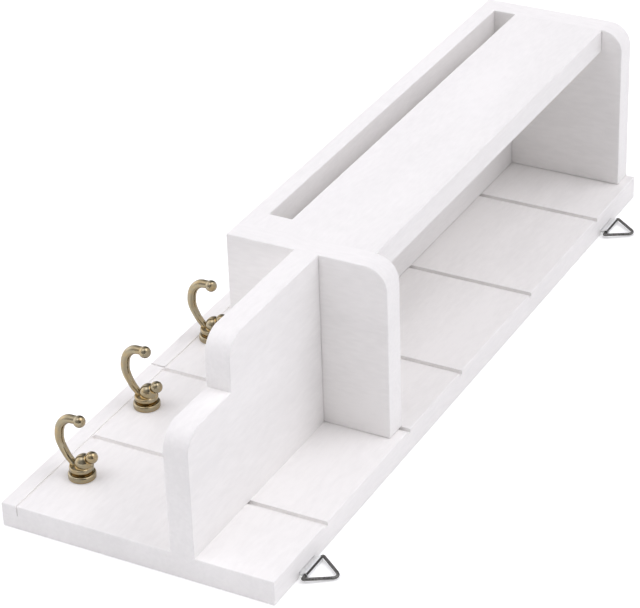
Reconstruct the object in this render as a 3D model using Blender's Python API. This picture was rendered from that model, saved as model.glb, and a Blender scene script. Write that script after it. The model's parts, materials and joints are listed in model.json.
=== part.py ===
"""Wall key holder with a mail slot.

A grooved back board carries a stepped shelf, a letter box with a slot along its front, three brass key
hooks and two triangle hangers. It lies on its back: X runs up the wall, Y along the board and Z out of the
wall, in metres. The origin is the middle of the board's back face.
"""
import math

import bmesh
import bpy
from mathutils import Matrix, Vector

# Back board, its grooves measured from its near end and its lower edge; a narrow one sets off an edge strip
BOARD_LENGTH = 0.390
BOARD_HEIGHT = 0.134
BOARD_THICKNESS = 0.012
GROOVE_WIDTH = 0.0030
GROOVE_DEPTH = 0.0013
EDGE_GROOVE_HEIGHT = 0.0081
EDGE_GROOVE_WIDTH = 0.0007
EDGE_GROOVE_DEPTH = 0.0050
STRIP_JOINT_PLACE = 0.1246
STRIP_JOINT_WIDTH = 0.0011
UPPER_GROOVES = (0.0458, 0.1248, 0.1787, 0.2568, 0.3387)
LOWER_GROOVES = (0.0606, 0.1229, 0.1852, 0.2475, 0.3098)

# Shelf: depths are measured from the board's back face
SHELF_HEIGHT = 0.0965
SHELF_THICKNESS = 0.012
SHELF_LOW_DEPTH = 0.0725
SHELF_STEP_PLACE = 0.0367

# Letter box: heights are measured from the board's lower edge, places from its near end
BOX_PLACE = 0.1152
BOX_DEPTH = 0.0976
BOX_HEIGHT = 0.0506
SIDE_TOP = 0.1295
SIDE_THICKNESS = 0.012
FRONT_TOP = 0.1185
FRONT_THICKNESS = 0.012
SILL_THICKNESS = 0.0087
SLOT_OPENING = 0.0115
SPACER_WIDTH = 0.0115
BIN_FLOOR_THICKNESS = 0.003
BIN_FLOOR_DROP = 0.0012

# Rounded corners of the shelf and the side panels
CORNER_RADIUS = 0.011
CORNER_STEPS = 8

# Key hooks: places along the board and heights above its lower edge
HOOK_PLACES = (0.0318, 0.0927, 0.1565)
HOOK_HEIGHTS = (0.0214, 0.0175, 0.0150)
ROSETTE_RADIUS = 0.00625
ROSETTE_THICKNESS = 0.0025
ROSETTE_EDGE = 0.0008
BOSS_RADIUS = 0.0055
BOSS_NECK_RADIUS = 0.0041
BOSS_NECK_HEIGHT = 0.0012
BOSS_RIM_HEIGHT = 0.0016
BOSS_DOME_HEIGHT = 0.0017
DRUM_RADIUS = 0.0039
DRUM_LENGTH = 0.0040
DRUM_EDGE = 0.0010
DRUM_HEIGHT = 0.0045
DRUM_TILT = math.radians(39.6)
KNOB_RADIUS = 0.0028
KNOB_REACH = 0.0091
KNOB_NECK_RADIUS = 0.0018
KNOB_SPIGOT_RADIUS = 0.0011
KNOB_SPIGOT_LENGTH = 0.0022
ARM_RADIUS = 0.00213
ARM_ROOT_RADIUS = 0.00165
ARM_TIP_RADIUS = 0.00195
ARM_ROOT = (-0.0025, 0.0046)
ARM_RISE = (-0.0074, 0.0104)
ARM_BULGE = (-0.0101, 0.0192)
ARM_CROWN = (-0.0062, 0.0278)
ARM_TIP = (0.0009, 0.0289)
TIP_BALL_RADIUS = 0.0028
STUD_RADIUS = 0.0014
STUD_GRIP = 0.0019
STUD_REACH = 0.0090
STUD_POINT = 0.0025

# Hangers: places along the board, the straight side of the ring stands clear of the board's upper edge
RING_PLACES = (0.028, 0.352)
RING_WIDTH = 0.0206
RING_REACH = 0.0135
RING_WIRE_RADIUS = 0.00095
RING_BASE_ROUND = 0.0011
RING_APEX_ROUND = 0.0024
RING_OFFSET = 0.0026
STRAP_SHEET = 0.0006
STRAP_WIDTH = 0.0132
STRAP_LENGTH = 0.0170
STRAP_SCREW_SETBACK = 0.0085
STRAP_SCREW_RADIUS = 0.0013
STRAP_SCREW_REACH = 0.0075
STRAP_SCREW_POINT = 0.0026
STRAP_HEAD_RADIUS = 0.0026
STRAP_HEAD_HEIGHT = 0.0009
STRAP_HEAD_EDGE = 0.0005

# Board screws, countersunk in the back face: distances from the ends of what each one holds
SCREW_RADIUS = 0.0015
SCREW_HEAD_RADIUS = 0.0031
SCREW_LENGTH = 0.030
SCREW_POINT = 0.004
SCREW_SINK = 0.0003
SHELF_SCREW_MARGIN = 0.018
SIDE_SCREW_MARGIN = 0.014
SILL_SCREW_MARGIN = 0.060

# Brads that hold the ends of the front panel
BRAD_RADIUS = 0.0006
BRAD_LENGTH = 0.022
BRAD_HEAD_DEPTH = 0.002
BRAD_MARGIN = 0.012

# Clearances: glued faces and seats, round pieces in their holes, the resting ring above the table
JOINT_GAP = 0.0003
HOLE_GAP = 0.0003
TABLE_GAP = 0.0001
CUT_MARGIN = 0.001

# Facets of small and large round pieces, of arcs in a turned outline and of bent bars
SMALL_SIDES = 16
ROUND_SIDES = 24
BALL_STEPS = 8
DOME_STEPS = 3
BEND_STEPS = 7
BAR_STEPS = 3
WIRE_STEPS = 2
SHARP_ANGLE = math.radians(40)

PAINT = ("white_paint", (0.93, 0.925, 0.93), 0.55, 0.0)
BRASS = ("antique_brass", (0.30, 0.235, 0.12), 0.35, 1.0)
STEEL = ("dark_steel", (0.12, 0.115, 0.11), 0.40, 1.0)
ZINC = ("zinc_plate", (0.55, 0.55, 0.54), 0.35, 1.0)


def clear_scene():
    """Take out every object of the scene."""
    for old in list(bpy.data.objects):
        bpy.data.objects.remove(old, do_unlink=True)


def at(height, place, depth):
    """World point from a height above the board's lower edge, a place along it and a depth off its back."""
    return Vector((height - BOARD_HEIGHT / 2, place - BOARD_LENGTH / 2, depth))


def material_for(name, finish):
    """Own Principled material of one piece."""
    label, colour, roughness, metallic = finish
    material = bpy.data.materials.new(name + "_" + label)
    material.use_nodes = True
    shader = material.node_tree.nodes["Principled BSDF"]
    shader.inputs["Base Color"].default_value = (*colour, 1.0)
    shader.inputs["Roughness"].default_value = roughness
    shader.inputs["Metallic"].default_value = metallic
    return material


def add_piece(name, mesh, location, finish, rotation=(0.0, 0.0, 0.0)):
    """Named object of the part, with its material."""
    piece = bpy.data.objects.new(name, mesh)
    bpy.context.scene.collection.objects.link(piece)
    piece.location = location
    piece.rotation_euler = rotation
    material = material_for(name, finish)
    if not mesh.materials:
        mesh.materials.append(None)
    piece.material_slots[0].link = "OBJECT"
    piece.material_slots[0].material = material
    return piece


def add_tool(name, mesh, location=(0.0, 0.0, 0.0), rotation=(0.0, 0.0, 0.0)):
    """Hidden shape that cuts a piece or is united with it."""
    tool = bpy.data.objects.new(name, mesh)
    bpy.context.scene.collection.objects.link(tool)
    tool.location = location
    tool.rotation_euler = rotation
    tool.hide_render = True
    tool.display_type = "WIRE"
    return tool


def combine(piece, tool, operation):
    """Boolean of a piece with a hidden shape."""
    modifier = piece.modifiers.new(operation.lower() + "_" + tool.name, "BOOLEAN")
    modifier.operation = operation
    modifier.solver = "EXACT"
    modifier.object = tool


def finished_mesh(name, source):
    """Mesh of an object with its modifiers, or of a curve, as it now stands."""
    bpy.context.view_layer.update()
    depsgraph = bpy.context.evaluated_depsgraph_get()
    mesh = bpy.data.meshes.new_from_object(source.evaluated_get(depsgraph))
    mesh.name = name
    return mesh


def smooth(mesh):
    """Smooth shading with sharp edges kept."""
    mesh.shade_smooth()
    mesh.set_sharp_from_angle(angle=SHARP_ANGLE)


def mesh_from(name, bm):
    """Mesh datablock from a bmesh, faces outward."""
    bmesh.ops.recalc_face_normals(bm, faces=bm.faces)
    mesh = bpy.data.meshes.new(name)
    bm.to_mesh(mesh)
    bm.free()
    return mesh


def box_mesh(name, boxes):
    """Mesh of separate boxes, each given by its low and high corners."""
    bm = bmesh.new()
    for low, high in boxes:
        size = high - low
        place = Matrix.Translation((low + high) / 2) @ Matrix.Diagonal((*size, 1.0))
        bmesh.ops.create_cube(bm, size=1.0, matrix=place)
    return mesh_from(name, bm)


def block(name, low, high, finish):
    """Square-edged board between two world corners."""
    middle = (low + high) / 2
    return add_piece(name, box_mesh(name, [(low - middle, high - middle)]), middle, finish)


def rounded(corners):
    """Outline points from (u, v, radius) corners, with an arc at each rounded one."""
    points = []
    count = len(corners)
    for index, (u, v, radius) in enumerate(corners):
        corner = Vector((u, v))
        if radius == 0.0:
            points.append(corner)
            continue
        before = (Vector(corners[index - 1][:2]) - corner).normalized()
        after = (Vector(corners[(index + 1) % count][:2]) - corner).normalized()
        half = before.angle(after) / 2
        centre = corner + (before + after).normalized() * radius / math.sin(half)
        start = corner + before * radius / math.tan(half) - centre
        end = corner + after * radius / math.tan(half) - centre
        turn = start.angle_signed(end)
        for step in range(CORNER_STEPS + 1):
            points.append(centre + Matrix.Rotation(-turn * step / CORNER_STEPS, 2) @ start)
    return points


def sheet_mesh(name, outline, thickness):
    """Board cut to an outline in its own XY plane and extruded along Z."""
    bm = bmesh.new()
    face = bm.faces.new([bm.verts.new((point.x, point.y, 0.0)) for point in outline])
    extruded = bmesh.ops.extrude_face_region(bm, geom=[face])
    moved = [item for item in extruded["geom"] if isinstance(item, bmesh.types.BMVert)]
    bmesh.ops.translate(bm, verts=moved, vec=(0.0, 0.0, thickness))
    return mesh_from(name, bm)


def turned_mesh(name, profile, sides, closed=False):
    """Solid of revolution about Z from (radius, height) points; a closed profile makes a ring."""
    bm = bmesh.new()
    verts = [bm.verts.new((radius, 0.0, height)) for radius, height in profile]
    chain = list(zip(verts, verts[1:]))
    if closed:
        chain.append((verts[-1], verts[0]))
    edges = [bm.edges.new(pair) for pair in chain]
    bmesh.ops.spin(bm, geom=verts + edges, cent=(0.0, 0.0, 0.0), axis=(0.0, 0.0, 1.0),
                   angle=math.tau, steps=sides, use_merge=True)
    bmesh.ops.remove_doubles(bm, verts=bm.verts, dist=1e-6)
    mesh = mesh_from(name, bm)
    smooth(mesh)
    return mesh


def ball_profile(radius, height, end):
    """(radius, height) points of a ball centred on the axis, from its top to an angle off the top."""
    angles = [end * step / BALL_STEPS for step in range(BALL_STEPS + 1)]
    return [(max(radius * math.sin(angle), 0.0), height + radius * math.cos(angle)) for angle in angles]


def dome_profile(radius, low, rise):
    """(radius, height) points of a flattened dome, from its top to its rim."""
    angles = [math.pi / 2 * step / DOME_STEPS for step in range(DOME_STEPS + 1)]
    return [(radius * math.sin(angle), low + rise * math.cos(angle)) for angle in angles]


def cylinder_profile(radius, low, high):
    """Profile of a plain cylinder."""
    return [(0.0, high), (radius, high), (radius, low), (0.0, low)]


# Heights, places and depths that several pieces share
shelf_low = SHELF_HEIGHT - SHELF_THICKNESS
slot_low = BOX_HEIGHT + SILL_THICKNESS
slot_high = slot_low + SLOT_OPENING
bin_floor_top = slot_high - BIN_FLOOR_DROP
bin_floor_low = bin_floor_top - BIN_FLOOR_THICKNESS
near_inside = BOX_PLACE + SIDE_THICKNESS
far_inside = BOARD_LENGTH - SIDE_THICKNESS
seat = BOARD_THICKNESS + JOINT_GAP
strap_thickness = 2 * STRAP_SHEET
loop_radius = RING_WIRE_RADIUS + HOLE_GAP + STRAP_SHEET
ring_height = loop_radius + TABLE_GAP
strap_low = ring_height - strap_thickness / 2
strap_recess_depth = strap_low + strap_thickness + JOINT_GAP

clear_scene()


# Back board, with its grooves and the recesses and holes for what is fixed to it
board_far_corner = at(BOARD_HEIGHT, BOARD_LENGTH, BOARD_THICKNESS)
back_board = block("back_board", at(0.0, 0.0, 0.0), board_far_corner, PAINT)


def cross_groove(place, low_height, high_height, width=GROOVE_WIDTH):
    """Box that cuts a groove across the board's face, centred on its place."""
    return (at(low_height, place - width / 2, BOARD_THICKNESS - GROOVE_DEPTH),
            at(high_height, place + width / 2, BOARD_THICKNESS + CUT_MARGIN))


edge_groove = (
    at(EDGE_GROOVE_HEIGHT - EDGE_GROOVE_WIDTH / 2, -CUT_MARGIN, BOARD_THICKNESS - EDGE_GROOVE_DEPTH),
    at(EDGE_GROOVE_HEIGHT + EDGE_GROOVE_WIDTH / 2, BOARD_LENGTH + CUT_MARGIN, BOARD_THICKNESS + CUT_MARGIN),
)
shelf_middle = SHELF_HEIGHT - SHELF_THICKNESS / 2
sill_middle = BOX_HEIGHT + SILL_THICKNESS / 2
bin_floor_middle = bin_floor_low + BIN_FLOOR_THICKNESS / 2
cross_grooves = [cross_groove(STRIP_JOINT_PLACE, -CUT_MARGIN, EDGE_GROOVE_HEIGHT, STRIP_JOINT_WIDTH)]
for place in UPPER_GROOVES:
    start = shelf_middle if place < BOX_PLACE else bin_floor_middle
    cross_grooves.append(cross_groove(place, start, BOARD_HEIGHT + CUT_MARGIN))
for place in LOWER_GROOVES:
    end = shelf_middle - GROOVE_WIDTH if place < BOX_PLACE else sill_middle
    cross_grooves.append(cross_groove(place, EDGE_GROOVE_HEIGHT, end))
edge_cutter = add_tool("edge_groove_cutter", box_mesh("edge_groove_cutter", [edge_groove]))
cross_cutter = add_tool("cross_groove_cutter", box_mesh("cross_groove_cutter", cross_grooves))
combine(back_board, edge_cutter, "DIFFERENCE")
combine(back_board, cross_cutter, "DIFFERENCE")


# Shelf over the hooks, shallow at its near end and as deep as the letter box beside it
shelf_outline = rounded([
    (0.0, seat, 0.0),
    (BOX_PLACE - JOINT_GAP, seat, 0.0),
    (BOX_PLACE - JOINT_GAP, BOX_DEPTH, 0.0),
    (SHELF_STEP_PLACE, BOX_DEPTH, CORNER_RADIUS),
    (SHELF_STEP_PLACE, SHELF_LOW_DEPTH, 0.0),
    (0.0, SHELF_LOW_DEPTH, CORNER_RADIUS),
])
upright_along = (math.pi / 2, 0.0, math.pi / 2)
shelf_mesh = sheet_mesh("shelf", shelf_outline, SHELF_THICKNESS)
shelf = add_piece("shelf", shelf_mesh, at(shelf_low, 0.0, 0.0), PAINT, upright_along)


# Side panels of the letter box, taller than its front and rounded at their upper front corner
side_outline = rounded([
    (0.0, seat, 0.0),
    (SIDE_TOP - BOX_HEIGHT, seat, 0.0),
    (SIDE_TOP - BOX_HEIGHT, BOX_DEPTH, CORNER_RADIUS),
    (0.0, BOX_DEPTH, 0.0),
])
upright_across = (math.pi / 2, 0.0, 0.0)
side_panels = []
for name, far_face in (("near_side_panel", near_inside), ("far_side_panel", BOARD_LENGTH)):
    side_panels.append(add_piece(name, sheet_mesh(name, side_outline, SIDE_THICKNESS),
                                 at(BOX_HEIGHT, far_face, 0.0), PAINT, upright_across))


# Boards between the side panels: sill, slot spacer, front panel and bin floor
near_seat = near_inside + JOINT_GAP
far_seat = far_inside - JOINT_GAP
sill_board = block("sill_board", at(BOX_HEIGHT, near_seat, seat), at(slot_low, far_seat, BOX_DEPTH), PAINT)
spacer_end = near_seat + SPACER_WIDTH
block("slot_spacer", at(slot_low + JOINT_GAP, near_seat, seat),
      at(slot_high - JOINT_GAP, spacer_end, BOX_DEPTH), PAINT)
front_back = BOX_DEPTH - FRONT_THICKNESS
front_panel = block("front_panel", at(slot_high, near_seat, front_back),
                    at(FRONT_TOP, far_seat, BOX_DEPTH), PAINT)
block("bin_floor", at(bin_floor_low, spacer_end + JOINT_GAP, seat),
      at(bin_floor_top, far_seat, front_back - JOINT_GAP), PAINT)


# Brads through the side panels into the ends of the front panel, set in and filled over
brad_mesh = turned_mesh("front_brad", cylinder_profile(BRAD_RADIUS, 0.0, BRAD_LENGTH), SMALL_SIDES)
brad_hole_profile = cylinder_profile(BRAD_RADIUS + HOLE_GAP, -HOLE_GAP, BRAD_LENGTH + HOLE_GAP)
brad_hole_mesh = turned_mesh("brad_hole", brad_hole_profile, SMALL_SIDES)
brad_depth = BOX_DEPTH - FRONT_THICKNESS / 2


def joined_copies(name, mesh, places):
    """One mesh that holds a copy of another at each place matrix."""
    bm = bmesh.new()
    for place in places:
        count = len(bm.verts)
        bm.from_mesh(mesh)
        bm.verts.ensure_lookup_table()
        bmesh.ops.transform(bm, matrix=place, verts=bm.verts[count:])
    copies = mesh_from(name, bm)
    smooth(copies)
    return copies


brad_places = []
for outer_face, direction in ((BOX_PLACE, -1.0), (BOARD_LENGTH, 1.0)):
    for height in (slot_high + BRAD_MARGIN, FRONT_TOP - BRAD_MARGIN):
        start = at(height, outer_face - direction * BRAD_HEAD_DEPTH, brad_depth)
        brad_places.append(Matrix.Translation(start) @ Matrix.Rotation(direction * math.pi / 2, 4, "X"))
for number, place in enumerate(brad_places, start=1):
    add_piece(f"front_brad_{number}", brad_mesh, place.to_translation(), STEEL, place.to_euler())
brad_cutter = add_tool("brad_cutter", joined_copies("brad_cutter", brad_hole_mesh, brad_places))
for board in side_panels + [front_panel]:
    combine(board, brad_cutter, "DIFFERENCE")


# Countersunk screws through the back board into the shelf, the side panels and the sill
head_height = SCREW_HEAD_RADIUS - SCREW_RADIUS
screw_profile = [
    (0.0, SCREW_SINK + SCREW_LENGTH),
    (SCREW_RADIUS, SCREW_SINK + SCREW_LENGTH - SCREW_POINT),
    (SCREW_RADIUS, SCREW_SINK + head_height),
    (SCREW_HEAD_RADIUS, SCREW_SINK),
    (0.0, SCREW_SINK),
]
screw_hole_profile = [
    (0.0, SCREW_SINK + SCREW_LENGTH + HOLE_GAP),
    (SCREW_RADIUS + HOLE_GAP, SCREW_SINK + SCREW_LENGTH + HOLE_GAP - SCREW_POINT),
    (SCREW_RADIUS + HOLE_GAP, SCREW_SINK + head_height),
    (SCREW_HEAD_RADIUS + HOLE_GAP, SCREW_SINK),
    (SCREW_HEAD_RADIUS + HOLE_GAP, -CUT_MARGIN),
    (0.0, -CUT_MARGIN),
]
screw_mesh = turned_mesh("board_screw", screw_profile, SMALL_SIDES)
screw_hole_mesh = turned_mesh("screw_hole", screw_hole_profile, SMALL_SIDES)
side_middles = (BOX_PLACE + SIDE_THICKNESS / 2, BOARD_LENGTH - SIDE_THICKNESS / 2)
screw_points = [
    at(shelf_middle, SHELF_SCREW_MARGIN, 0.0),
    at(shelf_middle, BOX_PLACE - SHELF_SCREW_MARGIN, 0.0),
    at(sill_middle, near_inside + SILL_SCREW_MARGIN, 0.0),
    at(sill_middle, far_inside - SILL_SCREW_MARGIN, 0.0),
]
for middle in side_middles:
    screw_points.append(at(BOX_HEIGHT + SIDE_SCREW_MARGIN, middle, 0.0))
    screw_points.append(at(SIDE_TOP - SIDE_SCREW_MARGIN, middle, 0.0))
for number, point in enumerate(screw_points, start=1):
    add_piece(f"board_screw_{number}", screw_mesh, point, STEEL)
screw_places = [Matrix.Translation(point) for point in screw_points]
screw_cutter = add_tool("screw_cutter", joined_copies("screw_cutter", screw_hole_mesh, screw_places))
for board in [back_board, shelf, sill_board] + side_panels:
    combine(board, screw_cutter, "DIFFERENCE")


# Key hooks: a flange under a cast body, a ball knob let into the body, and a stud into the board
stud_hole = STUD_RADIUS + HOLE_GAP
rosette_profile = [
    (stud_hole, JOINT_GAP),
    (ROSETTE_RADIUS, JOINT_GAP),
    (ROSETTE_RADIUS, ROSETTE_THICKNESS - ROSETTE_EDGE),
    (ROSETTE_RADIUS - ROSETTE_EDGE, ROSETTE_THICKNESS),
    (stud_hole, ROSETTE_THICKNESS),
]
rosette_mesh = turned_mesh("hook_rosette", rosette_profile, ROUND_SIDES, closed=True)

boss_low = ROSETTE_THICKNESS + JOINT_GAP
boss_rim_low = boss_low + BOSS_NECK_HEIGHT
boss_rim_high = boss_rim_low + BOSS_RIM_HEIGHT
stud_top = boss_low + STUD_GRIP
boss_profile = dome_profile(BOSS_RADIUS, boss_rim_high, BOSS_DOME_HEIGHT)
boss_profile += [
    (BOSS_RADIUS, boss_rim_low),
    (BOSS_NECK_RADIUS, boss_rim_low),
    (BOSS_NECK_RADIUS, boss_low),
    (0.0, boss_low),
]
stud_hole_profile = cylinder_profile(stud_hole, -STUD_REACH - HOLE_GAP, stud_top + HOLE_GAP)
stud_hole_mesh = turned_mesh("stud_hole", stud_hole_profile, SMALL_SIDES)
drum_turn = (0.0, DRUM_TILT, 0.0)
drum_origin = (0.0, 0.0, DRUM_HEIGHT)
spigot_low = DRUM_LENGTH - KNOB_SPIGOT_LENGTH
drum_profile = [
    (0.0, DRUM_LENGTH),
    (DRUM_RADIUS - DRUM_EDGE, DRUM_LENGTH),
    (DRUM_RADIUS, DRUM_LENGTH - DRUM_EDGE),
    (DRUM_RADIUS, spigot_low),
    (0.0, 0.0),
]
knob_hole_profile = cylinder_profile(KNOB_SPIGOT_RADIUS + HOLE_GAP, spigot_low - HOLE_GAP,
                                     DRUM_LENGTH + CUT_MARGIN)


def arm_curve():
    """Curled arm of a hook: a tapered round bar in the plane across the board."""
    curve = bpy.data.curves.new("hook_arm", "CURVE")
    curve.dimensions = "3D"
    curve.resolution_u = BEND_STEPS
    curve.bevel_depth = ARM_RADIUS
    curve.bevel_resolution = BAR_STEPS
    curve.use_fill_caps = True
    spline = curve.splines.new("BEZIER")
    bends = (
        (ARM_ROOT, ARM_ROOT_RADIUS),
        (ARM_RISE, ARM_ROOT_RADIUS),
        (ARM_BULGE, ARM_RADIUS),
        (ARM_CROWN, ARM_RADIUS),
        (ARM_TIP, ARM_TIP_RADIUS),
    )
    spline.bezier_points.add(len(bends) - 1)
    for point, ((out, rise), radius) in zip(spline.bezier_points, bends):
        point.co = (out, 0.0, rise)
        point.radius = radius / ARM_RADIUS
        point.handle_left_type = "AUTO"
        point.handle_right_type = "AUTO"
    return curve


arm_source = add_tool("hook_arm_curve", arm_curve())
arm_tool = add_tool("hook_arm", finished_mesh("hook_arm", arm_source))
tip_mesh = turned_mesh("hook_tip", ball_profile(TIP_BALL_RADIUS, 0.0, math.pi), SMALL_SIDES)
tip_tool = add_tool("hook_tip", tip_mesh, (ARM_TIP[0], 0.0, ARM_TIP[1]))
drum_mesh = turned_mesh("hook_drum", drum_profile, ROUND_SIDES)
drum_tool = add_tool("hook_drum", drum_mesh, drum_origin, drum_turn)
knob_hole_mesh = turned_mesh("knob_hole", knob_hole_profile, SMALL_SIDES)
knob_hole_tool = add_tool("knob_hole", knob_hole_mesh, drum_origin, drum_turn)
body_tool = add_tool("hook_boss", turned_mesh("hook_boss", boss_profile, ROUND_SIDES))
combine(body_tool, drum_tool, "UNION")
combine(body_tool, arm_tool, "UNION")
combine(body_tool, tip_tool, "UNION")
combine(body_tool, knob_hole_tool, "DIFFERENCE")
combine(body_tool, add_tool("stud_hole", stud_hole_mesh), "DIFFERENCE")
body_mesh = finished_mesh("hook_body", body_tool)
smooth(body_mesh)

knob_neck_angle = math.pi - math.asin(KNOB_NECK_RADIUS / KNOB_RADIUS)
knob_profile = ball_profile(KNOB_RADIUS, KNOB_REACH, knob_neck_angle)
knob_profile += [
    (KNOB_NECK_RADIUS, DRUM_LENGTH + JOINT_GAP),
    (KNOB_SPIGOT_RADIUS, DRUM_LENGTH + JOINT_GAP),
    (KNOB_SPIGOT_RADIUS, spigot_low),
    (0.0, spigot_low),
]
knob_mesh = turned_mesh("hook_knob", knob_profile, SMALL_SIDES)

stud_profile = [
    (0.0, stud_top),
    (STUD_RADIUS, stud_top),
    (STUD_RADIUS, STUD_POINT - STUD_REACH),
    (0.0, -STUD_REACH),
]
stud_mesh = turned_mesh("hook_stud", stud_profile, SMALL_SIDES)

hook_points = [at(height, place, BOARD_THICKNESS) for height, place in zip(HOOK_HEIGHTS, HOOK_PLACES)]
for number, point in enumerate(hook_points, start=1):
    add_piece(f"hook_rosette_{number}", rosette_mesh, point, BRASS)
    add_piece(f"hook_body_{number}", body_mesh, point, BRASS)
    add_piece(f"hook_knob_{number}", knob_mesh, point + Vector(drum_origin), BRASS, drum_turn)
    add_piece(f"hook_stud_{number}", stud_mesh, point, STEEL)
stud_places = [Matrix.Translation(point) for point in hook_points]
stud_cutter = add_tool("stud_cutter", joined_copies("stud_cutter", stud_hole_mesh, stud_places))
combine(back_board, stud_cutter, "DIFFERENCE")


# Hangers: a sheet strap let into the back of the board, folded round the straight side of a wire ring
def ring_curve():
    """Triangle of wire whose straight side lies on the object's own Y axis."""
    half = RING_WIDTH / 2 - RING_WIRE_RADIUS
    outline = rounded([
        (0.0, -half, RING_BASE_ROUND),
        (RING_REACH, 0.0, RING_APEX_ROUND),
        (0.0, half, RING_BASE_ROUND),
    ])
    curve = bpy.data.curves.new("hanger_ring", "CURVE")
    curve.dimensions = "3D"
    curve.bevel_depth = RING_WIRE_RADIUS
    curve.bevel_resolution = WIRE_STEPS
    spline = curve.splines.new("POLY")
    spline.points.add(len(outline) - 1)
    for point, spot in zip(spline.points, outline):
        point.co = (spot.x, spot.y, 0.0, 1.0)
    spline.use_cyclic_u = True
    return curve


ring_mesh = finished_mesh("hanger_ring", add_tool("hanger_ring_curve", ring_curve()))
smooth(ring_mesh)
ring_droop = math.asin((ring_height - RING_WIRE_RADIUS - TABLE_GAP) / RING_REACH)

lying_along = (-math.pi / 2, 0.0, 0.0)
loop_half = STRAP_WIDTH / 2
strap_tip = BOARD_HEIGHT - STRAP_LENGTH
strap_screw_height = BOARD_HEIGHT - STRAP_SCREW_SETBACK
screw_head_low = strap_low - JOINT_GAP - STRAP_HEAD_HEIGHT
strap_screw_top = strap_low + strap_thickness + STRAP_SCREW_REACH
strap_hole = STRAP_SCREW_RADIUS + HOLE_GAP
strap_screw_profile = [
    (0.0, strap_screw_top),
    (STRAP_SCREW_RADIUS, strap_screw_top - STRAP_SCREW_POINT),
    (STRAP_SCREW_RADIUS, screw_head_low + STRAP_HEAD_HEIGHT),
    (STRAP_HEAD_RADIUS, screw_head_low + STRAP_HEAD_HEIGHT),
    (STRAP_HEAD_RADIUS - STRAP_HEAD_EDGE, screw_head_low),
    (0.0, screw_head_low),
]
strap_screw_mesh = turned_mesh("hanger_screw", strap_screw_profile, SMALL_SIDES)
strap_hole_profile = cylinder_profile(strap_hole, -CUT_MARGIN, strap_screw_top + HOLE_GAP)
strap_hole_mesh = turned_mesh("strap_hole", strap_hole_profile, SMALL_SIDES)
loop_profile = cylinder_profile(loop_radius, -loop_half, loop_half)
loop_mesh = turned_mesh("strap_loop", loop_profile, ROUND_SIDES)
wire_hole_profile = cylinder_profile(RING_WIRE_RADIUS + HOLE_GAP, -STRAP_WIDTH, STRAP_WIDTH)
wire_hole_mesh = turned_mesh("wire_hole", wire_hole_profile, SMALL_SIDES)

strap_recesses = []
strap_hole_places = []
for number, place in enumerate(RING_PLACES, start=1):
    bar = at(BOARD_HEIGHT + RING_OFFSET, place, ring_height)
    strap = block(f"hanger_strap_{number}", at(strap_tip, place - loop_half, strap_low),
                  at(BOARD_HEIGHT + RING_OFFSET, place + loop_half, strap_low + strap_thickness), ZINC)
    combine(strap, add_tool(f"strap_loop_{number}", loop_mesh, bar, lying_along), "UNION")
    combine(strap, add_tool(f"wire_hole_{number}", wire_hole_mesh, bar, lying_along), "DIFFERENCE")
    screw_point = at(strap_screw_height, place, 0.0)
    combine(strap, add_tool(f"strap_hole_{number}", strap_hole_mesh, screw_point), "DIFFERENCE")
    add_piece(f"hanger_screw_{number}", strap_screw_mesh, screw_point, ZINC)
    add_piece(f"hanger_ring_{number}", ring_mesh, bar, STEEL, (0.0, ring_droop, 0.0))
    strap_recesses.append((at(strap_tip - HOLE_GAP, place - loop_half - HOLE_GAP, -CUT_MARGIN),
                           at(BOARD_HEIGHT + CUT_MARGIN, place + loop_half + HOLE_GAP, strap_recess_depth)))
    strap_hole_places.append(Matrix.Translation(screw_point))
recess_cutter = add_tool("strap_recess_cutter", box_mesh("strap_recess_cutter", strap_recesses))
combine(back_board, recess_cutter, "DIFFERENCE")
strap_screw_cutter = add_tool("strap_screw_cutter",
                              joined_copies("strap_screw_cutter", strap_hole_mesh, strap_hole_places))
combine(back_board, strap_screw_cutter, "DIFFERENCE")
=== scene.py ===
import json
import math

import bmesh
import bpy
from mathutils import Matrix, Vector


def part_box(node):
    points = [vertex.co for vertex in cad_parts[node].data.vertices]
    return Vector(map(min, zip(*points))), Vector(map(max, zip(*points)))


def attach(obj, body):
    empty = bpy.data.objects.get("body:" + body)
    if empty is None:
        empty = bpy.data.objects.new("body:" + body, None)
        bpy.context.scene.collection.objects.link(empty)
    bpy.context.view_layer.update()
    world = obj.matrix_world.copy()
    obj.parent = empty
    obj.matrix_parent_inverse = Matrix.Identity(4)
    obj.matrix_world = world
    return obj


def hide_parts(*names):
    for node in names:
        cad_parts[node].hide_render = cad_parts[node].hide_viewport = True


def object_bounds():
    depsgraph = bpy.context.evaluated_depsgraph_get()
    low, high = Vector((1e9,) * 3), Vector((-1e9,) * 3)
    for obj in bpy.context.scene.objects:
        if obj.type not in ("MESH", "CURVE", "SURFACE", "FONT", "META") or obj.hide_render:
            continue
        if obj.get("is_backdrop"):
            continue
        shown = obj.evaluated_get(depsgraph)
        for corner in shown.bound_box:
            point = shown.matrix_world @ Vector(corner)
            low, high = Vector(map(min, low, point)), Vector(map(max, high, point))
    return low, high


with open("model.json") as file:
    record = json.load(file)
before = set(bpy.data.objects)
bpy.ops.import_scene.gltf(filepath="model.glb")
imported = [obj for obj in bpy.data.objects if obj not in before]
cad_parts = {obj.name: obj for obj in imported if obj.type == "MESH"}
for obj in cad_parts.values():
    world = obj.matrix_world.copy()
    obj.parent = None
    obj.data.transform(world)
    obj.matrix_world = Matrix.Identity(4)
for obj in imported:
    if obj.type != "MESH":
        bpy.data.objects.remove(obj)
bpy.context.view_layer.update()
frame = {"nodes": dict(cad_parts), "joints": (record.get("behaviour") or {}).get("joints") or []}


# Camera: a long lens that looks down on the near end of the board. Its place, aim and slight roll follow
# the straight edges of the boards, worked out for a frame 640 pixels wide.
FRAME_WIDTH = 640
FOCAL_LENGTH_IN_PIXELS = 2636.8
SENSOR_WIDTH = 36.0
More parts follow.
